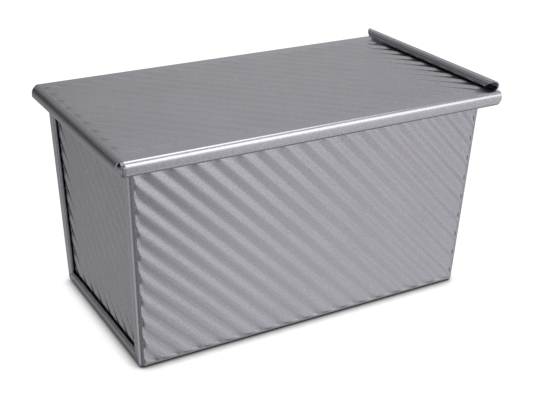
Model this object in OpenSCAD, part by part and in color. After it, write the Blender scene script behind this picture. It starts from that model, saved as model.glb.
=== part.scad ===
// Lidded loaf pan folded from rippled sheet steel.
// A U-shaped wrapper forms the front, the bottom and the back. Two recessed end panels
// are locked into it by folded seams, the rim is rolled over a wire loop, and the lid
// slides along that rim in two C-shaped channels until its stop flange meets the end.

/* [Pan] */
// Outer length of the bottom
bottom_length = 195; // [150:1:260]
// Outer width of the bottom
bottom_width = 104.5; // [80:0.5:140]
// Height from the table to the top of the rim
pan_height = 114.5; // [80:0.5:150]
// How far each wall leans out over its full height
draft = 4; // [1:0.5:8]
// Thickness of the sheet steel
sheet = 0.8; // [0.6:0.05:1]
// Outside radius of the two long bottom bends
bend_radius = 2; // [1.6:0.1:4]

/* [Ripples] */
// Distance from one ripple to the next
ripple_pitch = 8.4; // [7:0.1:14]
// Height from valley to crest
ripple_height = 0.7; // [0.4:0.05:0.75]
// Angle between a ripple and the panel's lower edge
ripple_angle = 45.5; // [30:0.5:60]
// Shift of the first ripple from the middle of the front and back
wall_ripple_start = 2.9; // [0:0.1:8]
// Shift of the first ripple from the middle of an end
end_ripple_start = 5.7; // [0:0.1:8]
// Shift of the first ripple from the middle of the lid
lid_ripple_start = 2.5; // [0:0.1:8]
// Length over which a ripple fades into the flat border
ripple_run_out = 1.8; // [1:0.1:3]
// Flat border beside the upright corners of the front and back
corner_border = 2.4; // [2:0.1:6]
// Flat border around the ripples of the bottom
base_border = 6; // [5:0.5:12]

/* [End seams] */
// Width of the folded seam strips on the ends
seam_width = 7; // [6:0.1:10]
// Gap between two layers of a folded seam
fold_gap = 0.05; // [0.02:0.01:0.1]
// Slit between two seam strips where they meet in a mitre
mitre_gap = 0.4; // [0.2:0.1:1]

/* [Rim] */
// Diameter of the wire inside the rim
wire_d = 3.4; // [2.5:0.1:4]
// Gap between the wire and the sheet rolled around it
wire_gap = 0.1; // [0.05:0.01:0.15]
// Corner radius of the rim, measured to the wire's centre
rim_corner = 4.8; // [4:0.1:8]

/* [Lid] */
// Gap between the rim and the lid above it
lid_gap = 0.3; // [0.2:0.05:0.6]
// Sideways play between the rim and each channel
lid_play = 0.7; // [0.3:0.05:1.2]
// Gap between the rim and the stop flange of the closed lid
stop_gap = 1.5; // [0.2:0.05:2]
// Reach of the lid past the rim at the grip end
lid_reach = 5; // [4:0.5:12]
// Height of the channel's outer face
channel_height = 7.7; // [7.4:0.1:10]
// Outside radius of the lid's long shoulders
shoulder_radius = 3; // [2:0.1:4]
// How far the channel's lower edge turns in under the rim
hook_reach = 3.4; // [2.8:0.1:4]
// Height of the stop flange
stop_height = 6; // [5:0.1:12]
// Outside radius of the bend above the stop flange
stop_radius = 4; // [2:0.1:5]
// Width of the open notch between the stop flange and a channel
notch_width = 0.6; // [0.4:0.1:6]
// Setback of the channel's end from the stop flange's face
channel_setback = 2.4; // [1:0.1:4]
// Height of the curled grip above the lid
grip_height = 5.5; // [5:0.1:8]
// Length of the slanted trim at the channel's grip end
channel_trim = 3.5; // [2:0.1:5]
// Flat border around the lid's ripples
lid_border = 4.5; // [3:0.5:15]

/* [Hidden] */
$fn = 48;
steel = [0.66, 0.67, 0.69];
end_steel = [0.58, 0.59, 0.61];
lid_steel = [0.62, 0.63, 0.65];
wire_steel = [0.45, 0.46, 0.48];
eps = 0.01;
wave_steps = 8;
arc_step = 18;

// Places where two pieces of rim meet face to face are rounded to a hundredth of a millimetre
function hundredth(x) = round(x * 100) / 100;

lean = atan(draft / pan_height);
slope = tan(lean);
spread = sin(lean);
bottom_size = [bottom_length, bottom_width];

// Rim: a tube of sheet around the wire, flush with the inside of the walls
bead_r = wire_d / 2 + wire_gap + sheet;
bead_mid_r = bead_r - sheet / 2;
// Angles around the wire, from its inner side over the top, where the rolled sheet starts and ends
bead_start = -15;
bead_end = 300;
bead_z = pan_height - bead_r;
function wall_at(side, z) = bottom_size[side] / 2 + z * slope;
function wall_v(z) = z / cos(lean);
rim_half = [for (i = [0, 1]) hundredth(wall_at(i, bead_z) - sheet + bead_r)];
rim_run = rim_half - [rim_corner, rim_corner];
rim_outer = rim_half[0] + bead_r;

// Folded seam: four layers, counted inwards from the wrapper's outer strip
layer = sheet + fold_gap;
fold_r = layer + sheet / 2;
wrapper_fold_in = seam_width - fold_r;
panel_fold_in = sheet + fold_gap + fold_r;
seam_drop = 0.6;
seam_top = bead_z - bead_r - seam_drop;
function layer_w(n) = -(n - 1) * layer - sheet;
turn_out_r = 1.6;
panel_lap = 4;
// Small step along the bend between a wall and its seam strip
edge_step = 0.05;

// Lid levels and ends, with the whole object's box centred on the origin
lid_top = pan_height + lid_gap + sheet;
lid_mid = lid_top - sheet / 2;
channel_y = rim_half[1] + bead_r + lid_play + sheet / 2;
shoulder_y = channel_y + sheet / 2 - shoulder_radius;
lid_stop_x = -(rim_outer + stop_gap + sheet);
lid_grip_x = rim_outer + lid_reach;
pan_x = hundredth(-(lid_stop_x + lid_grip_x) / 2);
grip_r = grip_height / 2;
grip_turn = 250;
grip_tail = 2.4;
grip_half = shoulder_y - 1;
hook_r = 1.6;
channel_short = 0.4;

// Points on an arc of a circle around c, from angle a to angle b
function arc(c, r, a, b) = let (n = max(2, ceil(abs(b - a) / arc_step)))
    [for (i = [0 : n]) c + r * [cos(a + (b - a) * i / n), sin(a + (b - a) * i / n)]];

function reversed(list) = [for (i = [len(list) - 1 : -1 : 0]) list[i]];
function flipped(list) = [for (p = reversed(list)) [-p.x, p.y]];
function across(p, q) = [p.y - q.y, q.x - p.x] / norm(q - p);

// The line that runs beside a path at a distance d
function beside(path, d) = let (last = len(path) - 1) [for (i = [0 : last])
    let (a = across(path[max(i - 1, 0)], path[max(i, 1)]),
         b = across(path[min(i, last - 1)], path[min(i + 1, last)]), m = a + b)
    path[i] + m * (2 * d / (m * m))];

// Section of a bent sheet whose middle follows a path
module bent_sheet(path, thick = sheet) {
    polygon(concat(beside(path, thick / 2), reversed(beside(path, -thick / 2))));
}

// Long piece with a section drawn in Y and Z
module along_x(x0, x1) {
    translate([x0, 0, 0]) rotate([90, 0, 90]) linear_extrude(x1 - x0) children();
}

// Long piece with a section drawn in X and Z
module along_y(y0, y1) {
    translate([0, y1, 0]) rotate([90, 0, 0]) linear_extrude(y1 - y0) children();
}

// Puts a panel drawn flat, with its outside up, on the front, right, back or left wall
module on_wall(turn) {
    translate([pan_x, 0, 0]) rotate([0, 0, 90 * turn])
        translate([0, -bottom_size[(turn + 1) % 2] / 2, 0]) rotate([90 + lean, 0, 0]) children();
}

// Symmetric quad from height v0 to v1, drawn in by d: [half width at v = 0, growth, v0, v1]
function quad(q, d) = let (s = d * sqrt(1 + q[1] * q[1]), a = q[2] + d, b = q[3] - d,
        x0 = q[0] + q[1] * a - s, x1 = q[0] + q[1] * b - s)
    [[-x0, a], [x0, a], [x1, b], [-x1, b]];

// Solid through quads drawn in by levels[i][1] at height levels[i][0]
module stacked_quads(q, levels) {
    top = 4 * (len(levels) - 1);
    polyhedron(
        [for (l = levels) for (p = quad(q, l[1])) [p.x, p.y, l[0]]],
        concat([[0, 1, 2, 3], [top + 3, top + 2, top + 1, top]],
            [for (k = [0 : 4 : top - 1]) for (i = [0 : 3])
                [k + i, k + 4 + i, k + 4 + (i + 1) % 4, k + (i + 1) % 4]]),
        convexity = 4);
}

// Ripples over a quad. The sheet's flat outside is at w = 0, and lift moves the wave outwards.
rise = ripple_height / 2;
one_side = rise + 0.03;
lip_in = ripple_run_out * min(1, (sheet - 0.15) / ripple_height);
ledge = 0.05;

// Flat sheet's opening for the ripples, with lips that lead into crests and valleys.
// The lips begin a ledge's width inside the ripples, so that no two slopes share a line.
module ripple_opening(q, lift = 0) {
    up = (rise - lift) / ripple_run_out;
    down = (rise + lift) / ripple_run_out;
    over = 0.2;
    reach = lip_in + ledge;
    stacked_quads(q, [
        down > 0 ? [-sheet - over * down, ledge - over] : [-sheet - over, reach],
        [-sheet + lip_in * down, reach], [-lip_in * up, reach],
        up > 0 ? [over * up, ledge - over] : [over, reach]]);
}

// Rippled sheet, ended by slopes so that each ripple runs out into the flat border
module ripple_field(q, lift = 0, start = 0) {
    crest = rise + lift;
    valley = rise - lift;
    over = 0.1;
    size = norm([2 * max(q[0] + q[1] * q[2], q[0] + q[1] * q[3]), q[3] - q[2]]);
    waves = ceil(size / ripple_pitch / 2) + 1;
    peak = rise / cos(180 / wave_steps);
    line = [for (i = [-waves * wave_steps : waves * wave_steps])
        [start + (i + 0.5) * ripple_pitch / wave_steps,
            lift + peak * sin(360 * (i + 0.5) / wave_steps)]];
    intersection() {
        stacked_quads(q, [
            if (valley > 0) [-sheet - valley - over, ripple_run_out * (1 + over / valley)],
            [-sheet - (valley > 0 ? 0 : over), 0], [crest > 0 ? 0 : over, 0],
            if (crest > 0) [crest + over, ripple_run_out * (1 + over / crest)]]);
        translate([0, (q[2] + q[3]) / 2, 0]) rotate([0, 0, 90 - ripple_angle]) rotate([90, 0, 0])
            linear_extrude(size, center = true)
                polygon(concat(line, [for (p = reversed(line)) p - [0, sheet]]));
    }
}

// Panels that carry ripples: [half width, growth, lowest v, highest v]
wall_border = 3.6;
under_rim = 2;
end_border = 0.4;
end_top_border = 5;
long_wall_window = [bottom_length / 2 - corner_border, spread,
    wall_border, wall_v(bead_z - bead_r - under_rim)];
end_window = [bottom_width / 2 - seam_width - end_border, spread,
    seam_width + end_border, wall_v(seam_top - end_top_border)];
bottom_window = [bottom_length / 2 - base_border, 0,
    base_border, bottom_width - base_border];

// Outline of the end of the pan, drawn in by d, with round bottom corners
function end_outline(d) = let (r = max(bend_radius - d, eps), k = r / tan(45 + lean / 2),
        h = bottom_width / 2 - d / cos(lean) + d * spread, v1 = wall_v(seam_top))
    concat([[-(bottom_width / 2 + spread * v1) + d / cos(lean), v1]],
        arc([-h + k, d + r], r, 180 + lean, 270), arc([h - k, d + r], r, 270, 360 - lean),
        [[bottom_width / 2 + spread * v1 - d / cos(lean), v1]]);

// U-shaped strip of the end's outline between two depths, open at the rim
module end_strip(d0, d1) {
    difference() {
        polygon(end_outline(d0));
        polygon(concat([for (p = end_outline(d1)) p.y > seam_top / 2 ? p + [0, 5] : p]));
    }
}

// Slit along the mitre between the strips at both bottom corners
module mitre_cuts(gap) {
    for (side = [-1, 1])
        translate([side * bottom_width / 2, 0])
            rotate(side > 0 ? 135 - lean / 2 : 45 + lean / 2)
                translate([-1, -gap / 2]) square([2 * seam_width, gap]);
}

// Half-round fold along the three seams of an end, turned towards the panel or the wall
module seam_folds(n, depth, inward) {
    w = layer_w(n) + sheet / 2 - layer;
    h = bottom_width / 2 - depth / cos(lean);
    v0 = depth;
    clear = bend_radius + 1;
    turn = inward ? 1 : -1;
    run = wall_v(seam_top) - v0;
    start = inward ? 0 : clear - v0;
    for (side = [-1, 1])
        translate([side * (h + spread * v0), v0, w]) rotate([-90, 0, -side * lean])
            translate([0, 0, start]) linear_extrude(run / cos(lean) - start)
                rotate(side == turn ? 180 : 0) half_fold();
    half_run = h + spread * v0 - (inward ? 0 : clear - panel_fold_in + sheet);
    translate([-half_run, v0, w]) rotate([90, 0, 90]) linear_extrude(2 * half_run)
        rotate(inward ? 0 : 180) half_fold();
}

module half_fold() {
    tail = 0.3;
    bent_sheet(concat([[-tail, -layer]], arc([0, 0], layer, -90, 90), [[-tail, layer]]));
}

// Ring of rolled sheet seen along the rim, from the wall over the wire and under it
module bead_section() {
    bent_sheet(arc([0, 0], bead_mid_r, bead_start, bead_end));
}

// Straight pieces and quarter turns around the rim, for a section drawn with X pointing inwards
module rim_corner_piece(sx, sy) {
    translate([pan_x + sx * rim_run[0], sy * rim_run[1], bead_z])
        rotate([0, 0, sx > 0 ? (sy > 0 ? 0 : 270) : (sy > 0 ? 90 : 180)])
            rotate_extrude(angle = 90) translate([rim_corner, 0]) mirror([1, 0]) children();
}

module rim_long_piece(sy) {
    translate([pan_x, sy * rim_half[1], bead_z]) rotate([90, 0, sy > 0 ? -90 : 90])
        linear_extrude(2 * rim_run[0], center = true) children();
}

module rim_end_piece(sx, y0, y1) {
    translate([pan_x + sx * rim_half[0], (y0 + y1) / 2, bead_z]) rotate([90, 0, sx > 0 ? 180 : 0])
        linear_extrude(y1 - y0, center = true) children();
}

module rim_loop() {
    for (s = [-1, 1]) {
        rim_long_piece(s) children();
        rim_end_piece(s, -rim_run[1], rim_run[1]) children();
        for (t = [-1, 1]) rim_corner_piece(s, t) children();
    }
}

// Where the wrapper's rolled rim ends on the pan's ends
bead_split = wall_at(1, bead_z) - seam_width;

module body_wrapper() color(steel) {
    r = bend_radius;
    k = r / tan(45 + lean / 2);
    half = bottom_width / 2;
    outside = function(d) concat(
        [[-wall_at(1, bead_z) + d / cos(lean), bead_z]],
        arc([-half + k, r], r - d, 180 + lean, 270));
    low = wall_at(0, -1) - edge_step;
    high = wall_at(0, bead_z + 1) - edge_step;
    section = concat(outside(0), flipped(outside(0)),
        reversed(concat(outside(sheet), flipped(outside(sheet)))));
    difference() {
        union() {
            difference() {
                intersection() {
                    translate([pan_x, 0, 0])
                        along_x(-bottom_length, bottom_length) polygon(section);
                    translate([pan_x, 0, 0]) along_y(-bottom_width, bottom_width)
                        polygon([[-low, -1], [low, -1], [high, bead_z + 1], [-high, bead_z + 1]]);
                }
                for (turn = [0, 2]) on_wall(turn) ripple_opening(long_wall_window);
                bottom_panel() ripple_opening(bottom_window, -one_side);
            }
            for (turn = [0, 2]) on_wall(turn) ripple_field(long_wall_window, 0, wall_ripple_start);
            bottom_panel() ripple_field(bottom_window, -one_side);
            for (turn = [1, 3]) on_wall(turn) wrapper_seam();
            for (s = [-1, 1]) {
                rim_long_piece(s) bead_section();
                for (t = [-1, 1]) {
                    rim_corner_piece(s, t) bead_section();
                    rim_end_piece(s, t > 0 ? bead_split : -rim_run[1], t > 0 ? rim_run[1] : -bead_split)
                        bead_section();
                }
            }
        }
        for (s = [-1, 1]) for (t = [-1, 1])
            rim_corner_piece(s, t) circle(r = (wire_d + wire_gap) / 2);
    }
}

// Bottom drawn flat with its outside down
module bottom_panel() {
    translate([pan_x, -bottom_width / 2, 0]) rotate([0, 180, 0]) children();
}

// Outer strip, fold and return of the wrapper's edge, drawn on the end of the pan
module wrapper_seam() {
    difference() {
        union() {
            translate([0, 0, layer_w(1)]) linear_extrude(sheet) end_strip(edge_step, wrapper_fold_in);
            translate([0, 0, layer_w(3)]) linear_extrude(sheet)
                end_strip(panel_fold_in + fold_gap, wrapper_fold_in);
            seam_folds(1, wrapper_fold_in, true);
        }
        translate([0, 0, layer_w(3) - 1]) linear_extrude(4 * layer) mitre_cuts(mitre_gap);
    }
}

// One recessed end with its folded edge and its share of the rim
module end_panel(turn) color(end_steel) {
    on_wall(turn) {
        difference() {
            translate([0, 0, layer_w(4)]) linear_extrude(sheet) polygon(end_outline(panel_fold_in));
            translate([0, 0, layer_w(4) + sheet]) ripple_opening(end_window);
        }
        translate([0, 0, layer_w(4) + sheet]) ripple_field(end_window, 0, end_ripple_start);
        translate([0, 0, layer_w(2)]) linear_extrude(sheet)
            end_strip(panel_fold_in, wrapper_fold_in - fold_gap);
        seam_folds(2, panel_fold_in, false);
    }
    // Top of the panel, turned out over the wire, from a little below the panel's edge
    inset = bead_r - sheet + (3 * layer + sheet / 2) / cos(lean);
    low = seam_top - panel_lap - bead_z;
    high = bead_mid_r - turn_out_r;
    path = concat([[inset - low * slope, low], [inset - high * slope, high]],
        arc([inset - turn_out_r, high], turn_out_r, 10, 90),
        arc([0, 0], bead_mid_r, 90, bead_end));
    rim_end_piece(turn == 1 ? 1 : -1, -bead_split + fold_gap, bead_split - fold_gap) bent_sheet(path);
}

module end_panel_left() {
    end_panel(3);
}

module end_panel_right() {
    end_panel(1);
}

module rim_wire() color(wire_steel) {
    rim_loop() circle(d = wire_d);
}

// Half of the lid's cross-section: hook, outer face and shoulder
function channel_path() = let (low = lid_top - channel_height + sheet / 2,
        s = shoulder_radius - sheet / 2)
    concat([[channel_y - hook_reach, low]], arc([channel_y - hook_r, low + hook_r], hook_r, 270, 360),
        arc([channel_y - s, lid_mid - s], s, 0, 90), [[shoulder_y - 1, lid_mid]]);

module lid() color(lid_steel) translate([pan_x, 0, 0]) {
    plate_x0 = lid_stop_x + stop_radius;
    plate_x1 = lid_grip_x - sheet / 2 - grip_r;
    channel_x0 = lid_stop_x + channel_setback;
    channel_x1 = lid_grip_x - channel_short;
    window_x0 = plate_x0 + lid_border;
    window_x1 = plate_x1 - 2 * grip_r;
    window_y = shoulder_y - lid_border;
    window = [(window_x1 - window_x0) / 2, 0, -window_y, window_y];
    middle = (window_x0 + window_x1) / 2;
    // Channels along the front and back, trimmed at the grip end
    difference() {
        union() {
            along_x(channel_x0, channel_x1) bent_sheet(channel_path());
            along_x(channel_x0, channel_x1) bent_sheet(flipped(channel_path()));
        }
        along_y(-2 * channel_y, 2 * channel_y) polygon([
            [channel_x1 - channel_trim, lid_top - channel_height - 1],
            [channel_x1 + 1, lid_top - channel_height - 1],
            [channel_x1 + 1, lid_top - channel_height / 2]]);
    }
    // Flat top with its ripples, which stand upwards
    difference() {
        translate([plate_x0 - eps, -shoulder_y, lid_top - sheet])
            cube([plate_x1 - plate_x0 + 2 * eps, 2 * shoulder_y, sheet]);
        translate([middle, 0, lid_top]) ripple_opening(window, one_side);
    }
    translate([middle, 0, lid_top]) ripple_field(window, one_side, lid_ripple_start);
    // Stop flange, with a notch at each side
    r = stop_radius - sheet / 2;
    flange_half = shoulder_y - notch_width;
    along_y(-flange_half, flange_half) bent_sheet(concat(
        [[lid_stop_x + sheet / 2, lid_top - stop_height]],
        arc([plate_x0, lid_mid - r], r, 180, 90), [[plate_x0 + 1, lid_mid]]));
    // Grip curled up and back over the lid
    centre = [plate_x1, lid_mid + grip_r];
    last = 270 + grip_turn;
    curl_end = centre + grip_r * [cos(last), sin(last)];
    along_y(-grip_half, grip_half) bent_sheet(concat([[plate_x1 - 1, lid_mid]],
        arc(centre, grip_r, 270, last), [curl_end + grip_tail * [-sin(last), cos(last)]]));
}

body_wrapper();
end_panel_left();
end_panel_right();
rim_wire();
lid();
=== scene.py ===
"""Lidded loaf pan of rippled sheet steel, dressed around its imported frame."""

from __future__ import annotations

import logging
import math
from collections.abc import Callable, Iterable, Sequence
from dataclasses import dataclass, field
from enum import Enum

import bmesh
import bpy
from mathutils import Matrix, Vector

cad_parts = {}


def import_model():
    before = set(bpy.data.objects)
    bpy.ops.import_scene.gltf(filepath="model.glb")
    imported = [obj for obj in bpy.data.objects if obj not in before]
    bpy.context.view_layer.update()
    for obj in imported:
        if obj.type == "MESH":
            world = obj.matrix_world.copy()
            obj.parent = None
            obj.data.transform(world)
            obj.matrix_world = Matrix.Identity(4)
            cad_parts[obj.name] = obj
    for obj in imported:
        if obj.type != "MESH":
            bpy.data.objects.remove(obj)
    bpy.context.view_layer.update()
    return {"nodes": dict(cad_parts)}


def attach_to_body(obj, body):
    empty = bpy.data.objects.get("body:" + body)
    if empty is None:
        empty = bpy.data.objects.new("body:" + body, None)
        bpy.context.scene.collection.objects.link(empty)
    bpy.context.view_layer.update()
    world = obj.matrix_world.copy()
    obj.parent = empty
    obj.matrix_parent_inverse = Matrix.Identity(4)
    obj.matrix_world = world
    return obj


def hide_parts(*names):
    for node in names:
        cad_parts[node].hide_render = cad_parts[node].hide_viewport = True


LOG = logging.getLogger("loaf_pan")
MM = 0.001
QUARTER = math.pi / 2
WHITE = (1.0, 1.0, 1.0, 1.0)
ROUNDING = 1e-9


class Band(Enum):
    """The three parts of the folded body, across its width."""

    FRONT = -1
    BOTTOM = 0
    BACK = 1


def spaced(start: float, end: float, step: float) -> list[float]:
    """Even stations from start to end.

    Args:
        start: First station.
        end: Last station.
        step: Distance between stations that is kept at most.

    Returns:
        The stations, both ends included.
    """
    count = max(1, math.ceil(abs(end - start) / step - ROUNDING))
    return [start + (end - start) * i / count for i in range(count + 1)]


def bordered(
    start: float, end: float, step: float, run: float, close_steps: int = 4
) -> list[float]:
    """Stations that are closer together over a run at both ends.

    Args:
        start: First station.
        end: Last station.
        step: Distance between the stations in the middle.
        run: Length at each end over which the stations are close.
        close_steps: Number of steps in each run.

    Returns:
        The stations, both ends included.
    """
    close = spaced(0.0, run, run / close_steps)
    middle = spaced(start + run, end - run, step)
    return [start + d for d in close[:-1]] + middle + [end - d for d in reversed(close[:-1])]


def smooth(x: float) -> float:
    """A soft step from 0 at 0 to 1 at 1."""
    x = min(max(x, 0.0), 1.0)
    return x * x * (3.0 - 2.0 * x)


def mixed(a: float, b: float, t: float) -> float:
    """The value at share t of the way from a to b."""
    return a + (b - a) * t


def mapped_grid(
    bm: bmesh.types.BMesh,
    rows: Sequence,
    columns: Sequence,
    place: Callable[..., Vector],
    cut: Callable[..., bool] | None = None,
) -> None:
    """Adds a grid whose vertices are moved to where each row meets each column.

    Args:
        bm: Mesh that receives the grid.
        rows: One entry for each row of vertices.
        columns: One entry for each column of vertices.
        place: Gives the point, in millimetres, of a row and a column.
        cut: Says of a face's first row and column numbers that it is left out.
    """
    last_row, last_column = len(rows) - 1, len(columns) - 1
    made = bmesh.ops.create_grid(bm, x_segments=last_column, y_segments=last_row, size=0.5)
    faces = {face for vert in made["verts"] for face in vert.link_faces}
    if cut:
        dropped = []
        for face in faces:
            middle = face.calc_center_median()
            row = math.floor((middle.y + 0.5) * last_row)
            column = math.floor((middle.x + 0.5) * last_column)
            if cut(row, column):
                dropped.append(face)
        bmesh.ops.delete(bm, geom=dropped, context="FACES")
    for vert in [v for v in made["verts"] if v.is_valid]:
        row = round((vert.co.y + 0.5) * last_row)
        column = round((vert.co.x + 0.5) * last_column)
        vert.co = place(rows[row], columns[column])


@dataclass(frozen=True)
class Ripples:
    """Straight ripples pressed into a sheet, in millimetres.

    The overtone makes their flanks straighter than a plain wave's. Runs are the lengths over
    which the ripples fade, along a panel and across it.
    """

    pitch: float = 8.4
    height: float = 0.7
    angle: float = 45.5
    wall_runs: tuple[float, float] = (1.1, 1.8)
    lid_runs: tuple[float, float] = (3.5, 4.0)
    clearance: float = 0.03
    peak: float = 0.95
    overtone: float = 1 / 9
    wall_start: float = 2.9
    end_start: float = 5.7
    lid_start: float = 2.5

    @property
    def rise(self) -> float:
        """Half of the height from valley to crest."""
        return self.height / 2

    @property
    def one_side(self) -> float:
        """Lift that brings the whole wave to one side of the border."""
        return self.rise + self.clearance

    def wave(self, u: float, v: float, start: float, inside: float, lift: float = 0.0) -> float:
        """Height of the rippled sheet over its flat border.

        Args:
            u: Place along the panel, from its middle.
            v: Place up the panel, from its middle.
            start: Distance of the first crest's foot from the panel's middle.
            inside: Share from 0 at the border to 1 where the ripples are whole.
            lift: Height of the wave's middle over the border.

        Returns:
            The height in millimetres.
        """
        turn = math.radians(90.0 - self.angle)
        along = u * math.cos(turn) + v * math.sin(turn) - start
        turns = 2 * math.pi * along / self.pitch
        pressed = math.sin(turns) - self.overtone * math.sin(3 * turns)
        return inside * (lift + self.rise * self.peak * pressed)


@dataclass(frozen=True)
class Window:
    """The part of a panel that carries ripples, wider towards its top."""

    half: float
    growth: float
    low: float
    high: float

    def half_at(self, v: float) -> float:
        """Half of the width at height v."""
        return self.half + self.growth * v

    def inside(self, u: float, v: float, runs: tuple[float, float]) -> float:
        """Share of the ripple's height at a place, softened over a run at the sides and ends."""
        across = smooth((self.half_at(v) - abs(u)) / runs[0])
        return across * smooth(min(v - self.low, self.high - v) / runs[1])

    @property
    def middle(self) -> float:
        """Height of the window's middle."""
        return (self.low + self.high) / 2

    def columns(self, step: float, run: float, between: float) -> list[tuple[float, float]]:
        """Columns over the window and over the borders beside it.

        Args:
            step: Distance between columns in the middle.
            run: Length at each side over which the ripples fade.
            between: Share of the border at which it has a column of its own.

        Returns:
            Each column as a share of the window's half and a share of the border beyond it.
        """
        stations = bordered(-self.half, self.half, step, run)
        inner = [(x / self.half, 0.0) for x in stations]
        return [(-1.0, 1.0), (-1.0, between)] + inner + [(1.0, between), (1.0, 1.0)]


@dataclass(frozen=True)
class Tin:
    """Sizes that the body, the ends and the lid share, in millimetres."""

    length: float = 195.0
    width: float = 104.5
    height: float = 114.5
    draft: float = 4.0
    sheet: float = 0.8
    fold_radius: float = 2.0
    corner_radius: float = 2.4
    seam_width: float = 7.0
    fold_gap: float = 0.05
    mitre_gap: float = 0.4
    wire: float = 3.4
    wire_gap: float = 0.1
    rim_corner: float = 4.8
    seam_drop: float = 0.6
    centre_x: float = -1.35
    rolled_to: float = 300.0
    ripples: Ripples = field(default_factory=Ripples)

    @property
    def lean(self) -> float:
        """Angle by which each wall leans out, in radians."""
        return math.atan(self.draft / self.height)

    @property
    def spread(self) -> float:
        """Growth of a wall's reach for each millimetre up the wall."""
        return math.sin(self.lean)

    @property
    def bead_radius(self) -> float:
        """Outside radius of the rolled rim."""
        return self.wire / 2 + self.wire_gap + self.sheet

    @property
    def bead_middle(self) -> float:
        """Radius of the middle of the sheet rolled around the wire."""
        return self.bead_radius - self.sheet / 2

    @property
    def bead_z(self) -> float:
        """Height of the wire's centre."""
        return self.height - self.bead_radius

    def up(self, z: float) -> float:
        """Distance up a wall at height z."""
        return z / math.cos(self.lean)

    @property
    def rim_half(self) -> tuple[float, float]:
        """Half of the wire loop along X and along Y."""
        out = self.bead_z * math.tan(self.lean) - self.sheet + self.bead_radius
        return round(self.length / 2 + out, 2), round(self.width / 2 + out, 2)

    @property
    def seam_top(self) -> float:
        """Height at which the seam strips end under the rim."""
        return self.bead_z - self.bead_radius - self.seam_drop

    @property
    def layer(self) -> float:
        """Distance from one layer of a seam to the next."""
        return self.sheet + self.fold_gap

    @property
    def body_fold(self) -> float:
        """Depth of the fold's centre on the body's strips."""
        return self.seam_width - self.layer - self.sheet / 2

    @property
    def end_fold(self) -> float:
        """Depth of the fold's centre on the end's hem."""
        return self.sheet + self.fold_gap + self.layer + self.sheet / 2

    def layer_middle(self, number: int) -> float:
        """How far the middle of a seam's layer lies outside the end's outer face."""
        return -(number - 1) * self.layer - self.sheet / 2

    @property
    def bead_split(self) -> float:
        """Half of the length of the rim that belongs to an end."""
        return self.width / 2 + self.bead_z * math.tan(self.lean) - self.seam_width

    def on_end(self, side: int, y: float, v: float, w: float) -> Vector:
        """A point of an end.

        Args:
            side: -1 for the left end and 1 for the right end.
            y: Place across the pan.
            v: Distance up the end.
            w: Distance outside the end's outer face.

        Returns:
            The point in millimetres.
        """
        out = self.length / 2 + v * math.sin(self.lean) + w * math.cos(self.lean)
        z = v * math.cos(self.lean) - w * math.sin(self.lean)
        return Vector((self.centre_x + side * out, y, z))

    def end_normal(self, side: int) -> Vector:
        """Outward direction of an end."""
        return Vector((side * math.cos(self.lean), 0.0, -math.sin(self.lean)))

    def seam(self, side: int, band: Band, share: float, depth: float, w: float) -> Vector:
        """A point of the three folded seams of an end, which meet in two mitres.

        Args:
            side: -1 for the left end and 1 for the right end.
            band: The seam at the front, at the bottom or at the back.
            share: Place along the seam, from the mitre to the top, or from front to back.
            depth: Distance in from the end's outline.
            w: Distance outside the end's outer face.

        Returns:
            The point in millimetres.
        """
        slit = self.mitre_gap / math.sqrt(2)
        if band is Band.BOTTOM:
            half = self.width / 2 + self.spread * depth - depth - slit
            return self.on_end(side, (2 * share - 1) * half, depth, w)
        low = depth + slit
        v = mixed(low, self.up(self.seam_top), share)
        y = self.width / 2 + self.spread * v - depth
        return self.on_end(side, band.value * y, v, w)


@dataclass(frozen=True)
class Wiring:
    """Adds nodes to a node tree and feeds their inputs."""

    tree: bpy.types.NodeTree

    def feed(self, socket: bpy.types.NodeSocket, value: object) -> None:
        """Links a socket into an input, or sets the input to a plain value."""
        if isinstance(value, bpy.types.NodeSocket):
            self.tree.links.new(value, socket)
        else:
            socket.default_value = value

    def node(
        self, kind: str, inputs: dict[str | int, object] | None = None, **settings: object
    ) -> bpy.types.Node:
        """Adds a node.

        Args:
            kind: The node's type.
            inputs: What feeds each input, by the input's name or number.
            settings: Values of the node's own properties.

        Returns:
            The node.
        """
        node = self.tree.nodes.new(kind)
        for name, value in settings.items():
            setattr(node, name, value)
        for key, value in (inputs or {}).items():
            self.feed(node.inputs[key], value)
        return node

    def math(self, operation: str, *values: object) -> bpy.types.NodeSocket:
        """The result of a math node with one or two values."""
        inputs = dict(enumerate(values))
        return self.node("ShaderNodeMath", inputs, operation=operation).outputs[0]

    def scaled(self, vector: bpy.types.NodeSocket, factor: object) -> bpy.types.NodeSocket:
        """A vector or a colour times a number."""
        inputs = {0: vector, "Scale": factor}
        return self.node("ShaderNodeVectorMath", inputs, operation="SCALE").outputs["Vector"]

    def soft_range(
        self, value: bpy.types.NodeSocket, span: tuple[float, float], ends: tuple[float, float]
    ) -> bpy.types.NodeSocket:
        """A soft step over a span of the value, from the first end to the second."""
        inputs = dict(enumerate((value, *span, *ends)))
        node = self.node("ShaderNodeMapRange", inputs, interpolation_type="SMOOTHSTEP")
        return node.outputs["Result"]

    def by_ray(
        self, shader: bpy.types.NodeSocket, choices: Iterable[tuple[str, bpy.types.NodeSocket]]
    ) -> bpy.types.NodeSocket:
        """A shader that gives way to another one for each named kind of ray."""
        path = self.node("ShaderNodeLightPath")
        for ray, other in choices:
            inputs = {"Fac": path.outputs[ray], 1: shader, 2: other}
            shader = self.node("ShaderNodeMixShader", inputs).outputs["Shader"]
        return shader


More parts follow.
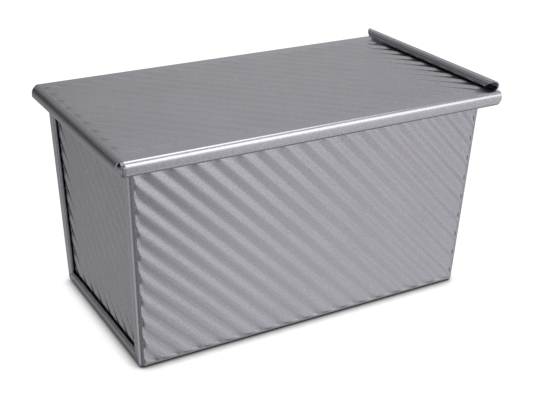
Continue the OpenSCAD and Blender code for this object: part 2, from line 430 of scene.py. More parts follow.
@dataclass(frozen=True)
class SteelFinish:
    """Satin steel sheet with a fine grain, and painted shade that darkens its colour in narrow
    gaps, seams and under overhangs.

    Sizes are in metres. Tone is the share by which the grain changes the colour.
    """

    name: str
    color: tuple[float, float, float]
    roughness: float
    grain_size: float = 0.0007
    grain_tone: float = 0.15
    grain_depth: float = 0.000006
    cloud_size: float = 0.03
    cloud_tone: float = 0.04
    painted_shade_samples: int = 6
    painted_shade_reach: float = 0.0035
    painted_shade_range: tuple[float, float] = (0.2, 0.75)
    painted_shade_dark: float = 0.15

    def material(self) -> bpy.types.Material:
        """The finish as a new material with its nodes."""
        material = bpy.data.materials.new(self.name)
        material.use_nodes = True
        wiring = Wiring(material.node_tree)
        shader = material.node_tree.nodes["Principled BSDF"]
        inputs = {
            "Vector": wiring.node("ShaderNodeTexCoord").outputs["Object"],
            "Color": (*self.color, 1.0),
            "Roughness": self.roughness,
            "Grain Scale": 1.0 / self.grain_size,
            "Grain Tone": self.grain_tone,
            "Cloud Scale": 1.0 / self.cloud_size,
            "Cloud Tone": self.cloud_tone,
        }
        grain = wiring.node("ShaderNodeGroup", inputs, node_tree=rolled_grain()).outputs
        # Painted shade: ambient occlusion darkens the base colour in seams, narrow gaps, the lid's
        # notch and under the grip.
        inputs = {"Distance": self.painted_shade_reach}
        painted_shade = wiring.node("ShaderNodeAmbientOcclusion", inputs, samples=self.painted_shade_samples)
        shade = wiring.soft_range(painted_shade.outputs["AO"], self.painted_shade_range, (self.painted_shade_dark, 1.0))
        inputs = {"Distance": self.grain_depth, "Height": grain["Height"]}
        bump = wiring.node("ShaderNodeBump", inputs)
        wiring.feed(shader.inputs["Metallic"], 1.0)
        wiring.feed(shader.inputs["Base Color"], wiring.scaled(grain["Color"], shade))
        wiring.feed(shader.inputs["Roughness"], grain["Roughness"])
        wiring.feed(shader.inputs["Normal"], bump.outputs["Normal"])
        return material


GROUPS: dict[str, bpy.types.NodeTree] = {}
TONE_GAIN = 4.0
# Scale input, tone input, noise detail and roughness spread of the grain and of the clouding.
SPECKLES = (("Grain Scale", "Grain Tone", 2.0, 0.1), ("Cloud Scale", "Cloud Tone", 3.0, 0.12))


def rolled_grain() -> bpy.types.NodeTree:
    """The node group of the sheet's fine grain and slow clouding, made once.

    Returns:
        A group with colour, roughness and height outputs.
    """
    name = "rolled_grain"
    if name in GROUPS:
        return GROUPS[name]
    tree = bpy.data.node_groups.new(name, "ShaderNodeTree")
    GROUPS[name] = tree
    numbers = ("Roughness", "Grain Scale", "Grain Tone", "Cloud Scale", "Cloud Tone")
    number = "NodeSocketFloat"
    for label, way, kind in (
        ("Vector", "INPUT", "NodeSocketVector"),
        ("Color", "INPUT", "NodeSocketColor"),
        *((label, "INPUT", number) for label in numbers),
        ("Color", "OUTPUT", "NodeSocketColor"),
        ("Roughness", "OUTPUT", number),
        ("Height", "OUTPUT", number),
    ):
        tree.interface.new_socket(label, in_out=way, socket_type=kind)
    wiring = Wiring(tree)
    given, sink = wiring.node("NodeGroupInput").outputs, wiring.node("NodeGroupOutput").inputs
    shade: object = 1.0
    rough, heights = given["Roughness"], []
    for scale, tone, detail, spread in SPECKLES:
        inputs = {"Vector": given["Vector"], "Scale": given[scale], "Detail": detail}
        noise = wiring.node("ShaderNodeTexNoise", inputs).outputs["Fac"]
        spots = wiring.math("SUBTRACT", noise, 0.5)
        strong = wiring.math("MULTIPLY", spots, TONE_GAIN)
        shade = wiring.math("ADD", wiring.math("MULTIPLY", strong, given[tone]), shade)
        rough = wiring.math("ADD", rough, wiring.math("MULTIPLY", spots, spread))
        heights.append(spots)
    wiring.feed(sink["Color"], wiring.scaled(given["Color"], shade))
    wiring.feed(sink["Roughness"], rough)
    wiring.feed(sink["Height"], heights[0])
    return tree


PAN_STEEL = SteelFinish("satin_pan_steel", (0.62, 0.605, 0.658), 0.2)
LID_STEEL = SteelFinish("satin_lid_steel", (0.62, 0.605, 0.658), 0.2)
WIRE_STEEL = SteelFinish("drawn_wire", (0.5, 0.51, 0.53), 0.4, grain_size=0.0004)


@dataclass(frozen=True)
class EdgeFinish:
    """How a sheet's cut edges are rounded. Sizes are in millimetres, angles in degrees."""

    size: float = 0.12
    steps: int = 2
    angle: float = 60.0
    sharp_angle: float = 38.0
    weld: float = 0.001


@dataclass(frozen=True)
class SheetPiece:
    """A named piece that is bent from one sheet."""

    tin: Tin
    name: str

    def bend(self, bm: bmesh.types.BMesh) -> None:
        """Adds the middle surface of the bent sheet, in millimetres, to a mesh."""
        raise NotImplementedError

    def build(
        self, material: bpy.types.Material, edge: EdgeFinish = EdgeFinish()
    ) -> bpy.types.Object:
        """Makes the piece, with the sheet's thickness and rounded edges.

        Args:
            material: Finish of the whole piece.
            edge: Rounding of its edges.

        Returns:
            The object, with its modifiers applied.
        """
        bm = bmesh.new()
        self.bend(bm)
        bmesh.ops.remove_doubles(bm, verts=bm.verts, dist=edge.weld)
        bmesh.ops.recalc_face_normals(bm, faces=bm.faces)
        bmesh.ops.scale(bm, vec=Vector((MM, MM, MM)), verts=bm.verts)
        mesh = bpy.data.meshes.new(self.name)
        bm.to_mesh(mesh)
        bm.free()
        piece = bpy.data.objects.new(self.name, mesh)
        bpy.context.scene.collection.objects.link(piece)
        wall = piece.modifiers.new("wall", "SOLIDIFY")
        wall.thickness = self.tin.sheet * MM
        wall.offset = 0.0
        edges = piece.modifiers.new("edges", "BEVEL")
        edges.width = edge.size * MM
        edges.segments = edge.steps
        edges.limit_method = "ANGLE"
        edges.angle_limit = math.radians(edge.angle)
        graph = bpy.context.evaluated_depsgraph_get()
        final = bpy.data.meshes.new_from_object(piece.evaluated_get(graph), depsgraph=graph)
        piece.modifiers.clear()
        piece.data = final
        final.name = self.name
        bpy.data.meshes.remove(mesh)
        final.polygons.foreach_set("use_smooth", [True] * len(final.polygons))
        final.set_sharp_from_angle(angle=math.radians(edge.sharp_angle))
        final.materials.clear()
        final.materials.append(material)
        return piece


@dataclass(frozen=True)
class Row:
    """One line along the folded body: a point of its outside, its normal and its window."""

    y: float
    z: float
    normal: Vector
    half: float
    band: Band
    rippled: bool


@dataclass(frozen=True)
class FoldedBody(SheetPiece):
    """The sheet that is folded to the front, the bottom and the back."""

    step: float = 1.35
    bottom_step: float = 2.4
    corner_border: float = 2.4
    wall_border: float = 2.3
    bottom_border: float = 6.0
    under_rim: float = 2.0
    bend_steps: int = 3
    return_end: float = 2.2
    strip_stops: tuple[float, ...] = (0.3, 0.65, 1.0)
    rim_start: float = -3.0
    rim_turn_step: float = 15.0
    rim_corner_steps: int = 10
    round_steps: int = 8

    @property
    def wall_window(self) -> Window:
        """Rippled part of the front and the back."""
        top = self.tin.bead_z - self.tin.bead_radius - self.under_rim
        return Window(
            self.tin.length / 2 - self.corner_border,
            self.tin.spread,
            self.wall_border,
            self.tin.up(top),
        )

    @property
    def bottom_window(self) -> Window:
        """Rippled part of the bottom."""
        border = self.bottom_border
        return Window(self.tin.length / 2 - border, 0.0, border, self.tin.width - border)

    def wall_row(self, band: Band, v: float) -> Row:
        """A row of the front or the back at a distance up the wall."""
        tin, side = self.tin, band.value
        y = side * (tin.width / 2 + tin.spread * v)
        normal = Vector((0.0, side * math.cos(tin.lean), -math.sin(tin.lean)))
        window = self.wall_window
        return Row(y, v * math.cos(tin.lean), normal, window.half_at(v), band, True)

    def fold_rows(self, band: Band) -> list[Row]:
        """Rows around a long bottom fold, from the wall to the bottom."""
        tin, side = self.tin, band.value
        r = tin.fold_radius
        centre = tin.width / 2 - r / math.tan(math.pi / 4 + tin.lean / 2)
        rows = []
        for turn in spaced(tin.lean, QUARTER, (QUARTER - tin.lean) / (2 * self.bend_steps)):
            normal = Vector((0.0, side * math.cos(turn), -math.sin(turn)))
            half = mixed(self.wall_window.half, self.bottom_window.half, turn / QUARTER)
            point = Vector((0.0, side * centre, r)) + r * normal
            rows.append(Row(point.y, point.z, normal, half, band, False))
        return rows

    def rows(self) -> list[Row]:
        """All rows, from the front's rim to the back's rim."""
        tin, window, run = self.tin, self.wall_window, self.tin.ripples.wall_runs[1]
        heights = [tin.up(tin.bead_z), tin.up(tin.seam_top)]
        heights += list(reversed(bordered(window.low, window.high, self.step, run)))
        front = [self.wall_row(Band.FRONT, v) for v in heights]
        front += self.fold_rows(Band.FRONT)
        back = [self.wall_row(Band.BACK, v) for v in heights] + self.fold_rows(Band.BACK)
        floor = self.bottom_window
        down = Vector((0.0, 0.0, -1.0))
        places = bordered(floor.low, floor.high, self.bottom_step, run)
        half = tin.width / 2
        bottom = [Row(v - half, 0.0, down, floor.half, Band.BOTTOM, True) for v in places]
        return front + bottom + list(reversed(back))

    def columns(self) -> list[tuple[float, float]]:
        """Columns of the sheet, as Window.columns gives them."""
        return self.wall_window.columns(self.step, self.tin.ripples.wall_runs[0], 0.5)

    def end_half(self, row: Row) -> float:
        """Half of the outside length of the body at a row."""
        return self.tin.length / 2 + self.tin.spread * self.tin.up(row.z)

    def sheet_point(self, row: Row, column: tuple[float, float]) -> Vector:
        """Point of the sheet's middle at a row and a column."""
        tin = self.tin
        share, border = column
        flat_end = self.end_half(row) - tin.corner_radius
        x = share * row.half + math.copysign(border * (flat_end - row.half), share)
        ripples, lift = tin.ripples, 0.0
        if row.rippled and row.band is Band.BOTTOM:
            inside = self.bottom_window.inside(x, row.y + tin.width / 2, ripples.wall_runs)
            lift = ripples.wave(-x, row.y, 0.0, inside, -ripples.one_side)
        elif row.rippled:
            window, v = self.wall_window, tin.up(row.z)
            inside = window.inside(x, v, ripples.wall_runs)
            across = -row.band.value * x
            lift = ripples.wave(across, v - window.middle, ripples.wall_start, inside)
        outside = Vector((tin.centre_x + x, row.y, row.z))
        return outside + row.normal * (lift - tin.sheet / 2)

    def corner_point(self, row: Row, side: int, turn: float) -> Vector:
        """Point of the bend from the body's sheet to its strip on an end."""
        tin = self.tin
        r = tin.corner_radius
        x = tin.centre_x + side * (self.end_half(row) - r)
        centre = Vector((x, row.y, row.z)) - r * row.normal
        out = row.normal * math.cos(turn) + tin.end_normal(side) * math.sin(turn)
        return centre + (r - tin.sheet / 2) * out

    def strip(self, bm: bmesh.types.BMesh, rows: list[Row], side: int, band: Band) -> None:
        """Adds one strip of an end's seam, with its fold and its return.

        Args:
            bm: Mesh that receives the strip.
            rows: The body's rows that the strip continues.
            side: -1 for the left end and 1 for the right end.
            band: Which of the three seams it is.
        """
        tin = self.tin
        lengths = [0.0]
        for a, b in zip(rows, rows[1:]):
            lengths.append(lengths[-1] + math.hypot(b.y - a.y, b.z - a.z))
        shares = [d / lengths[-1] for d in lengths]
        turn_step = math.pi / self.round_steps
        columns = [("bend", t) for t in spaced(0.0, QUARTER, turn_step)]
        columns += [("flat", t) for t in self.strip_stops]
        columns += [("fold", t) for t in spaced(0.0, math.pi, turn_step)[1:]]
        columns += [("back", t) for t in (0.5, 1.0)]

        def place(numbered: tuple[Row, float], column: tuple[str, float]) -> Vector:
            """Point of the strip at a numbered row and a column."""
            (row, share), (kind, t) = numbered, column
            if kind == "bend":
                return self.corner_point(row, side, t)
            outer, inner = tin.layer_middle(1), tin.layer_middle(3)
            if kind == "flat":
                start = self.corner_point(row, side, QUARTER)
                return start.lerp(tin.seam(side, band, share, tin.body_fold, outer), t)
            if kind == "fold":
                depth = tin.body_fold + tin.layer * math.sin(t)
                w = (outer + inner) / 2 + tin.layer * math.cos(t)
                return tin.seam(side, band, share, depth, w)
            depth = mixed(tin.body_fold, self.return_end, t)
            return tin.seam(side, band, share, depth, inner)

        mapped_grid(bm, list(zip(rows, shares)), columns, place)

    def rim(self, bm: bmesh.types.BMesh, band: Band) -> None:
        """Adds the rolled rim of the front or the back, round two corners."""
        tin, side = self.tin, band.value
        rx, ry = tin.rim_half
        run_x, run_y = rx - tin.rim_corner, ry - tin.rim_corner
        path: list[tuple[Vector, Vector]] = []
        for end in (-1, 1):
            straight = [
                (Vector((end * rx, side * y, 0.0)), Vector((-end, 0.0, 0.0)))
                for y in (tin.bead_split, run_y)
            ]
            bend = []
            for turn in spaced(0.0, QUARTER, QUARTER / self.rim_corner_steps)[1:]:
                out = Vector((end * math.cos(turn), side * math.sin(turn), 0.0))
                centre = Vector((end * run_x, side * run_y, 0.0))
                bend.append((centre + tin.rim_corner * out, -out))
            part = straight + bend
            path += part if end < 0 else list(reversed(part))
        turns = spaced(self.rim_start, tin.rolled_to, self.rim_turn_step)

        def place(angle: float, at: tuple[Vector, Vector]) -> Vector:
            """Point of the rolled sheet at an angle around the wire."""
            point, inward = at
            r = tin.bead_middle
            offset = inward * (r * math.cos(angle)) + Vector((0.0, 0.0, r * math.sin(angle)))
            return point + offset + Vector((tin.centre_x, 0.0, tin.bead_z))

        mapped_grid(bm, [math.radians(turn) for turn in turns], path, place)

    def bend(self, bm: bmesh.types.BMesh) -> None:
        """Adds the walls and the bottom, the strips of the seams and the rolled rim."""
        rows = self.rows()
        mapped_grid(bm, rows, self.columns(), self.sheet_point)
        top = 1
        in_front = [r for r in rows if r.band is Band.FRONT]
        mitre = len(in_front) - 1 - self.bend_steps
        front = rows[top : mitre + 1]
        bottom = rows[mitre : len(rows) - mitre]
        back = rows[len(rows) - mitre - 1 : len(rows) - top]
        for side in (-1, 1):
            self.strip(bm, list(reversed(front)), side, Band.FRONT)
            self.strip(bm, bottom, side, Band.BOTTOM)
            self.strip(bm, back, side, Band.BACK)
        for band in (Band.FRONT, Band.BACK):
            self.rim(bm, band)


@dataclass(frozen=True)
class EndPanel(SheetPiece):
    """A recessed end with its folded hem and its share of the rolled rim."""

    side: int
    step: float = 1.3
    border: float = 0.4
    top_border: float = 5.0
    turn_out: float = 1.6
    hem_end: float = 5.65
    hem_gap: float = 0.02
    neck_step: float = 0.05
    round_steps: int = 6

    @property
    def window(self) -> Window:
        """Rippled part of the end."""
        tin = self.tin
        low = tin.seam_width + self.border
        top = tin.up(tin.seam_top - self.top_border)
        return Window(tin.width / 2 - low, tin.spread, low, top)

    def rows(self) -> list[tuple[str, float]]:
        """Rows from the hem at the bottom, up the panel and around the wire."""
        tin, window = self.tin, self.window
        inner = bordered(window.low, window.high, self.step, tin.ripples.wall_runs[1])
        top = tin.up(tin.seam_top)
        rows = [("panel", v) for v in [tin.end_fold] + inner + [top]]
        rows += [("neck", v) for v in (top + self.neck_step, tin.up(tin.bead_z))]
        turn_step, last = QUARTER / self.round_steps, math.radians(tin.rolled_to)
        rows += [("turn", a) for a in spaced(0.0, QUARTER, turn_step)]
        rows += [("roll", a) for a in spaced(QUARTER, last, turn_step)]
        return rows

    def columns(self) -> list[tuple[float, float]]:
        """Columns of the sheet, as Window.columns gives them."""
        return self.window.columns(self.step, self.tin.ripples.wall_runs[0], 0.4)

    def point(self, row: tuple[str, float], column: tuple[float, float]) -> Vector:
        """Point of the end's middle surface at a row and a column."""
        tin, window = self.tin, self.window
        (kind, value), (share, border) = row, column
        v = value if kind in ("panel", "neck") else tin.up(tin.bead_z)
        half = window.half_at(v)
        outer = tin.bead_split - tin.fold_gap
        if kind == "panel":
            outer = tin.width / 2 + tin.spread * v - tin.end_fold
        y = share * half + math.copysign(border * (outer - half), share)
        flat = tin.layer_middle(4)
        if kind == "panel":
            inside = window.inside(y, v, tin.ripples.wall_runs)
            start = tin.ripples.end_start
            wave = tin.ripples.wave(self.side * y, v - window.middle, start, inside)
            return tin.on_end(self.side, y, v, flat + wave)
        if kind == "neck":
            return tin.on_end(self.side, y, v, flat)
        inset = tin.bead_radius - tin.sheet - flat / math.cos(tin.lean)
        high = tin.bead_middle - self.turn_out
        if kind == "turn":
            start = inset - high * math.tan(tin.lean) - self.turn_out
            across = start + self.turn_out * math.cos(value)
            up = high + self.turn_out * math.sin(value)
        else:
            across = tin.bead_middle * math.cos(value)
            up = tin.bead_middle * math.sin(value)
        x = tin.centre_x + self.side * (tin.rim_half[0] - across)
        return Vector((x, y, tin.bead_z + up))

    def hem(self, bm: bmesh.types.BMesh, band: Band) -> None:
        """Adds the folded edge that is locked into one of the body's strips."""
        tin = self.tin
        turns = spaced(0.0, math.pi, math.pi / self.round_steps)
        columns = [("fold", t) for t in turns] + [("back", 1.0)]

        def place(share: float, column: tuple[str, float]) -> Vector:
            """Point of the hem at a share of its length."""
            kind, t = column
            if kind == "fold":
                depth = tin.end_fold - tin.layer * math.sin(t)
                w = tin.layer_middle(3) - tin.layer * math.cos(t)
            else:
                depth, w = self.hem_end, tin.layer_middle(2)
            return tin.seam(self.side, band, share, depth, w)

        gap = self.hem_gap
        rows = [gap / 2, 1.0 - gap / 2] if band is Band.BOTTOM else [gap, 1.0]
        mapped_grid(bm, rows, columns, place)

    def bend(self, bm: bmesh.types.BMesh) -> None:
        """Adds the panel with its rolled top, and the three hems."""
        mapped_grid(bm, self.rows(), self.columns(), self.point)
        for band in Band:
            self.hem(bm, band)


@dataclass(frozen=True)
class SlidingLid(SheetPiece):
    """The lid: a rippled plate with two channels, a stop flange and a curled grip."""

    step: float = 1.25
    gap: float = 0.3
    play: float = 0.7
    stop_gap: float = 1.5
    reach: float = 5.0
    channel_height: float = 7.7
    shoulder: float = 3.0
    hook_reach: float = 3.4
    hook_radius: float = 1.6
    stop_height: float = 6.0
    stop_radius: float = 4.0
    notch: float = 0.6
    setback: float = 2.4
    grip_height: float = 5.2
    grip_turn: float = 285.0
    grip_slit: float = 0.4
    slant_from: float = 190.0
    slant: float = 1.1
    trim: float = 3.5
    trim_below: float = 1.0
    channel_short: float = 0.4
    end_drop: float = 0.7
    end_pinch: float = 0.5
    border: float = 4.5
    left_border: float = 0.2
    right_border: float = 1.5
    inner_slit: float = 1.0
    hook_step: float = 0.9
    channel_step: float = 1.4
    flange_step: float = 1.3
    curl_step: float = 0.22
    hook_steps: int = 6
    bend_steps: int = 8
    shoulder_steps: int = 10

    @property
    def top(self) -> float:
        """Height of the flat plate's upper face."""
        return self.tin.height + self.gap + self.tin.sheet

    @property
    def middle_z(self) -> float:
        """Height of the flat plate's middle."""
        return self.top - self.tin.sheet / 2

    @property
    def channel_y(self) -> float:
        """Distance from the pan's middle to the middle of a channel's outer face."""
        return self.tin.rim_half[1] + self.tin.bead_radius + self.play + self.tin.sheet / 2

    @property
    def shoulder_y(self) -> float:
        """Where the flat plate meets the shoulders."""
        return self.channel_y + self.tin.sheet / 2 - self.shoulder

    @property
    def stop_x(self) -> float:
        """Outer face of the stop flange, from the pan's middle."""
        bead = self.tin.rim_half[0] + self.tin.bead_radius
        return -(bead + self.stop_gap + self.tin.sheet)

    @property
    def grip_x(self) -> float:
        """End of the grip, from the pan's middle."""
        return self.tin.rim_half[0] + self.tin.bead_radius + self.reach

    @property
    def grip_radius(self) -> float:
        """Radius of the middle of the curled grip."""
        return self.grip_height / 2

    @property
    def plate(self) -> tuple[float, float]:
        """Ends of the flat plate, from the pan's middle."""
        end = self.grip_x - self.tin.sheet / 2 - self.grip_radius
        return self.stop_x + self.stop_radius, end

    @property
    def rippled(self) -> tuple[float, float]:
        """Ends of the plate's rippled part, from the pan's middle."""
        x0, x1 = self.plate
        return x0 + self.left_border, x1 - self.right_border

    def rows(self) -> list[tuple[float, float]]:
        """Rows across the lid as their place in Y and height, from the front hook to the back."""
        s = self.shoulder - self.tin.sheet / 2
        r = self.hook_radius
        low = self.top - self.channel_height + self.tin.sheet / 2
        half = [(self.channel_y - y, low) for y in spaced(self.hook_reach, r, self.hook_step)]
        for turn in spaced(0.0, QUARTER, QUARTER / self.hook_steps)[1:]:
            y = self.channel_y - r + r * math.sin(turn)
            half.append((y, low + r - r * math.cos(turn)))
        upright = spaced(low + r, self.middle_z - s, self.channel_step)
        half += [(self.channel_y, z) for z in upright[1:]]
        for turn in spaced(0.0, QUARTER, QUARTER / self.shoulder_steps)[1:]:
            y = self.channel_y - s + s * math.cos(turn)
            half.append((y, self.middle_z - s + s * math.sin(turn)))
        edge = self.shoulder_y - self.border
        slits = sorted((self.inner_slit, self.notch, self.grip_slit))
        half += [(self.shoulder_y - d, self.middle_z) for d in slits]
        inner = bordered(-edge, edge, self.step, self.tin.ripples.lid_runs[1])
        return (
            [(-y, z) for y, z in half]
            + [(y, self.middle_z) for y in inner]
            + [(y, z) for y, z in reversed(half)]
        )

    def columns(self) -> list[tuple[str, float]]:
        """Columns along the lid, from the flange's lower edge to the grip's last edge."""
        x0, x1 = self.plate
        w0, w1 = self.rippled
        low, high = self.top - self.stop_height, self.middle_z - self.bend_radius
        columns = [("flange", z) for z in spaced(low, high, self.flange_step)]
        columns += [("bend", a) for a in spaced(0.0, QUARTER, QUARTER / self.bend_steps)[1:-1]]
        inner = bordered(w0, w1, self.step, self.tin.ripples.lid_runs[0])
        columns += [("plate", x) for x in [x0, (x0 + w0) / 2] + inner + [(w1 + x1) / 2, x1]]
        curl = spaced(0.0, math.radians(self.grip_turn), self.curl_step)
        return columns + [("curl", a) for a in curl[1:]]

    @property
    def bend_radius(self) -> float:
        """Radius of the middle of the bend above the stop flange."""
        return self.stop_radius - self.tin.sheet / 2

    def channel_end(self, z: float) -> float:
        """Where a channel ends at the grip, trimmed at a slant in its lower half."""
        end = self.grip_x - self.channel_short
        foot = self.top - self.channel_height - self.trim_below
        slant = (self.trim + self.trim_below) / (self.top - self.channel_height / 2 - foot)
        return min(end, end - self.trim + (z - foot) * slant)

    def bend(self, bm: bmesh.types.BMesh) -> None:
        """Adds the plate with its channels, flange and grip as one cut grid."""
        tin, ripples = self.tin, self.tin.ripples
        rows, columns = self.rows(), self.columns()
        (x0, x1), (w0, w1) = self.plate, self.rippled
        edge = self.shoulder_y - self.border
        window = Window((w1 - w0) / 2, 0.0, -edge, edge)
        middle = (w0 + w1) / 2
        flange_half = self.shoulder_y - self.notch + ROUNDING
        grip_half = self.shoulder_y - self.grip_slit + ROUNDING
        kinds = [kind for kind, _ in columns]
        first, last = kinds.index("plate"), len(kinds) - 1 - kinds[::-1].index("plate")
        start = self.stop_x + self.setback

        def place(row: tuple[float, float], numbered: tuple[int, str, float]) -> Vector:
            """Point of the lid's middle surface at a row and a column."""
            (y, z), (number, kind, value) = row, numbered
            flat = abs(y) < self.shoulder_y + ROUNDING
            if kind in ("flange", "bend"):
                if abs(y) > flange_half:
                    x = mixed(start, x0, number / first)
                    pinch = (1.0 - number / first) ** 2
                    high = (z - self.top + self.channel_height) / self.channel_height
                    z -= self.end_drop * pinch * high
                    y -= math.copysign(self.end_pinch * pinch, y)
                elif kind == "flange":
                    x, z = self.stop_x + tin.sheet / 2, value
                else:
                    x = x0 - self.bend_radius * math.cos(value)
                    z = self.middle_z - self.bend_radius * (1 - math.sin(value))
            elif kind == "plate":
                x = value
                if flat:
                    inside = window.inside(x - middle, y, ripples.lid_runs)
                    z += ripples.wave(x - middle, y, ripples.lid_start, inside, ripples.one_side)
            elif abs(y) > grip_half:
                share = (number - last) / (len(columns) - 1 - last)
                x = mixed(x1, self.channel_end(z), share)
            else:
                r = self.grip_radius
                x = x1 + r * math.sin(value)
                z = self.middle_z + r - r * math.cos(value)
                slanted = max(0.0, value - math.radians(self.slant_from))
                y *= 1.0 - self.slant * r * slanted / grip_half
            return Vector((tin.centre_x + x, y, z))

        def cut(row: int, column: int) -> bool:
            """True in the notches and between the grip and the channels."""
            a, b = abs(rows[row][0]), abs(rows[row + 1][0])
            inner, outer = min(a, b), max(a, b)
            if column < first:
                return inner < flange_half < outer
            return column >= last and inner < grip_half < outer

        numbered = [(i, kind, value) for i, (kind, value) in enumerate(columns)]
        mapped_grid(bm, rows, numbered, place, cut)


@dataclass(frozen=True)
class PhotoCamera:
    """Camera at the photograph's place, fitted to the pan's corners. Lengths are in millimetres."""

    azimuth: float = -29.91
    elevation: float = 24.71
    roll: float = 1.03
    focal_px: float = 1025.5
    frame_width_px: float = 533.0
    shift: tuple[float, float, float] = (-3.13, -45.74, -591.89)
    sensor_width: float = 36.0
    pan_x: float = -1.35

    def build(self) -> bpy.types.Object:
        """Adds the camera, makes it the scene's camera and returns it."""
        a, e, roll = (math.radians(d) for d in (self.azimuth, self.elevation, self.roll))
        back = Vector((math.sin(a) * math.cos(e), -math.cos(a) * math.cos(e), math.sin(e)))
        right = Vector((0.0, 0.0, 1.0)).cross(back).normalized()
        up = back.cross(right)
        turned_right = math.cos(roll) * right + math.sin(roll) * up
        turned_up = -math.sin(roll) * right + math.cos(roll) * up
        axes = Matrix((turned_right, turned_up, back)).transposed()
        place = -(axes @ Vector(self.shift)) + Vector((self.pan_x, 0.0, 0.0))
        data = bpy.data.cameras.new("photo_camera")
        data.sensor_width = self.sensor_width
        data.lens = self.focal_px * self.sensor_width / self.frame_width_px
        data.clip_start, data.clip_end = 0.01, 50.0
        camera = bpy.data.objects.new("photo_camera", data)
        camera.matrix_world = Matrix.Translation(place * MM) @ axes.to_4x4()
        bpy.context.scene.collection.objects.link(camera)
        bpy.context.scene.camera = camera
        return camera


@dataclass(frozen=True)
class SoftBox:
    """A rectangular soft lamp that faces the pan."""

    name: str
    place: tuple[float, float, float]
    size: tuple[float, float]
    power: float
    target: tuple[float, float, float] = (0.0, 0.0, 0.06)

    def build(self) -> bpy.types.Object:
        """Adds the lamp and returns it."""
        data = bpy.data.lights.new(self.name, "AREA")
        data.shape = "RECTANGLE"
        data.size, data.size_y = self.size
        data.energy = self.power
        lamp = bpy.data.objects.new(self.name, data)
        lamp.location = self.place
        aim = Vector(self.target) - Vector(self.place)
        lamp.rotation_mode = "QUATERNION"
        lamp.rotation_quaternion = aim.to_track_quat("-Z", "Y")
        bpy.context.scene.collection.objects.link(lamp)
        return lamp


@dataclass(frozen=True)
class Lobe:
    """A soft-edged patch of the light that the steel mirrors, around a direction.

    Angles are in degrees. Azimuth runs from the front (-Y) towards the grip's end (+X). The
    patch is full inside inner and ends at outer.
    """

    azimuth: float
    elevation: float
    inner: float
    outer: float
    gain: float

    @property
    def direction(self) -> Vector:
        """Unit vector towards the middle of the patch."""
        around, up = math.radians(self.azimuth), math.radians(self.elevation)
        flat = math.cos(up)
        return Vector((math.sin(around) * flat, -math.cos(around) * flat, math.sin(up)))


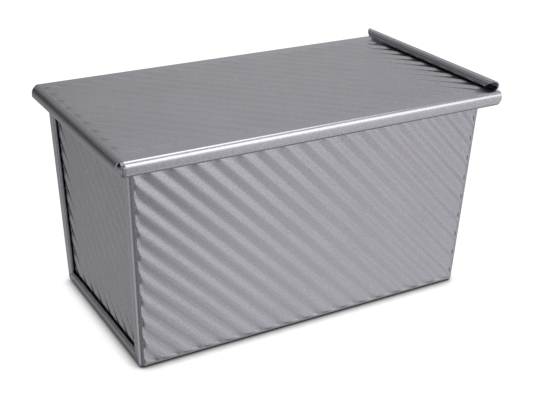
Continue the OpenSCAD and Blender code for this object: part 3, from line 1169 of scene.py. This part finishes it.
@dataclass(frozen=True)
class Studio:
    """Pale floor, surroundings that the steel mirrors, and a soft box."""

    lamps: tuple[SoftBox, ...] = (
        SoftBox("front_right_box", (0.71, -1.19, 0.85), (0.97, 1.03), 2.7),
    )
    room_light: float = 0.34
    base_light: float = 0.62
    least_light: float = 0.02
    lobes: tuple[Lobe, ...] = (
        Lobe(6.5, 10.8, 7.5, 54.3, 0.51),
        Lobe(116.6, -2.8, 62.6, 68.6, -0.16),
        Lobe(-37.0, -7.8, 52.6, 59.7, -0.42),
        Lobe(172.1, -83.6, 24.0, 55.9, -0.38),
        Lobe(-164.6, 14.3, 2.1, 46.0, -0.36),
        Lobe(-148.1, -20.2, 12.1, 66.2, -0.29),
        Lobe(-80.8, -38.6, 6.2, 18.6, 0.33),
        Lobe(105.5, 69.4, 8.1, 18.1, 1.42),
        Lobe(17.4, -23.3, 4.6, 20.8, -0.22),
        Lobe(-164.8, 43.8, 8.1, 18.1, -0.28),
        Lobe(-130.8, 19.7, 4.8, 24.5, -0.26),
        Lobe(-6.0, 32.0, 8.0, 28.0, -0.35),
    )
    floor_size: float = 12.0
    camera_glow: float = 0.80
    # Reach, range and darkness of the painted contact shadow on the floor.
    painted_contact_reach: float = 0.008
    painted_contact_range: tuple[float, float] = (0.30, 0.95)
    painted_contact_dark: float = 0.08
    floor_finish: tuple[tuple[str, object], ...] = (
        ("Base Color", (0.8, 0.8, 0.8, 1.0)),
        ("Roughness", 0.9),
        ("Specular IOR Level", 0.2),
    )

    def mirrored_light(
        self, wiring: Wiring, direction: bpy.types.NodeSocket
    ) -> bpy.types.NodeSocket:
        """Adds the nodes of the light that the steel mirrors from each direction.

        Args:
            wiring: The world's nodes.
            direction: Unit vector of the light's direction.

        Returns:
            The light's strength.
        """
        total: object = self.base_light
        for lobe in self.lobes:
            inputs = {0: direction, 1: lobe.direction}
            dot = wiring.node("ShaderNodeVectorMath", inputs, operation="DOT_PRODUCT")
            turn = wiring.math("ARCCOSINE", dot.outputs["Value"])
            span = (math.radians(lobe.inner), math.radians(lobe.outer))
            total = wiring.math("ADD", total, wiring.soft_range(turn, span, (lobe.gain, 0.0)))
        return wiring.math("MAXIMUM", total, self.least_light)

    def world(self) -> None:
        """Makes the surroundings: white to the camera, shaded by direction to the steel."""
        world = bpy.data.worlds.new("studio")
        bpy.context.scene.world = world
        world.use_nodes = True
        world.node_tree.nodes.clear()
        wiring = Wiring(world.node_tree)
        place = wiring.node("ShaderNodeTexCoord")
        mirrored_light = self.mirrored_light(wiring, place.outputs["Generated"])
        room, mirrored, seen = (
            wiring.node("ShaderNodeBackground", {"Color": WHITE, "Strength": light}).outputs[0]
            for light in (self.room_light, mirrored_light, 1.0)
        )
        bounced = (("Is Glossy Ray", mirrored), ("Is Transmission Ray", mirrored))
        shader = wiring.by_ray(room, (*bounced, ("Is Camera Ray", seen)))
        wiring.node("ShaderNodeOutputWorld", {"Surface": shader})

    def floor_material(self) -> bpy.types.Material:
        """Pale floor: white to the camera and clear to the steel's mirrored rays.

        Those rays go on to the surroundings. Where the pan stands close, ambient occlusion darkens
        both: a painted contact shadow to the camera, and painted shade in what the steel mirrors of
        the floor.

        Returns:
            The material.
        """
        material = bpy.data.materials.new("pale_floor")
        material.use_nodes = True
        wiring, nodes = Wiring(material.node_tree), material.node_tree.nodes
        lit = nodes["Principled BSDF"]
        for name, value in self.floor_finish:
            wiring.feed(lit.inputs[name], value)
        # Painted contact shadow: ambient occlusion darkens the floor's glow and the light that
        # passes through it to the steel.
        painted_contact = wiring.node("ShaderNodeAmbientOcclusion", {"Distance": self.painted_contact_reach})
        ends = (self.painted_contact_dark, 1.0)
        shade = wiring.soft_range(painted_contact.outputs["AO"], self.painted_contact_range, ends)
        strength = wiring.math("MULTIPLY", shade, self.camera_glow)
        glow = wiring.node("ShaderNodeEmission", {"Strength": strength})
        bright = wiring.node("ShaderNodeAddShader", {0: lit.outputs[0], 1: glow.outputs[0]})
        clear = wiring.node("ShaderNodeBsdfTransparent", {"Color": shade})
        choices = (("Is Camera Ray", bright.outputs[0]), ("Is Glossy Ray", clear.outputs[0]))
        surface = wiring.by_ray(lit.outputs["BSDF"], choices)
        wiring.feed(nodes["Material Output"].inputs["Surface"], surface)
        return material

    def floor(self) -> bpy.types.Object:
        """Adds the pale floor, which keeps the pan's shadow from the lamp and a painted contact
        shadow, and returns it.
        """
        bm = bmesh.new()
        bmesh.ops.create_grid(bm, x_segments=2, y_segments=2, size=self.floor_size / 2)
        mesh = bpy.data.meshes.new("floor")
        bm.to_mesh(mesh)
        bm.free()
        floor = bpy.data.objects.new("floor", mesh)
        bpy.context.scene.collection.objects.link(floor)
        mesh.materials.append(self.floor_material())
        return floor

    def build(self) -> None:
        """Adds the floor, the surroundings and the lamps."""
        self.world()
        self.floor()
        for lamp in self.lamps:
            lamp.build()


@dataclass(frozen=True)
class PieceRecord:
    """How a finished piece is tied to the frame."""

    piece: bpy.types.Object
    body: str
    node: str
    slot: str


def attach(records: Iterable[PieceRecord]) -> None:
    """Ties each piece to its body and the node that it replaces.

    Args:
        records: The finished pieces.
    """
    for record in records:
        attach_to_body(record.piece, record.body)
        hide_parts(record.node)
        LOG.info("%s: %d faces", record.piece.name, len(record.piece.data.polygons))


def main() -> None:
    """Loads the frame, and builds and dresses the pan."""
    logging.basicConfig(level=logging.INFO, format="%(name)s: %(message)s")
    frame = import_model()
    bpy.context.scene.view_settings.view_transform = "Standard"
    PhotoCamera().build()
    Studio().build()
    tin = Tin()
    pan_steel, lid_steel = PAN_STEEL.material(), LID_STEEL.material()
    attach(
        PieceRecord(maker.build(steel), body, node, slot)
        for maker, steel, body, node, slot in (
            (FoldedBody(tin, "folded_body"), pan_steel, "pan", "body_wrapper", "pan_steel"),
            (EndPanel(tin, "left_end", -1), pan_steel, "pan", "end_panel_left", "pan_steel"),
            (EndPanel(tin, "right_end", 1), pan_steel, "pan", "end_panel_right", "pan_steel"),
            (SlidingLid(tin, "sliding_lid"), lid_steel, "lid", "lid", "lid_steel"),
        )
    )
    wire = frame["nodes"]["rim_wire"]
    wire.data.materials.clear()
    wire.data.materials.append(WIRE_STEEL.material())
    LOG.info("rim_wire: dressed")


if __name__ == "__main__":
    main()
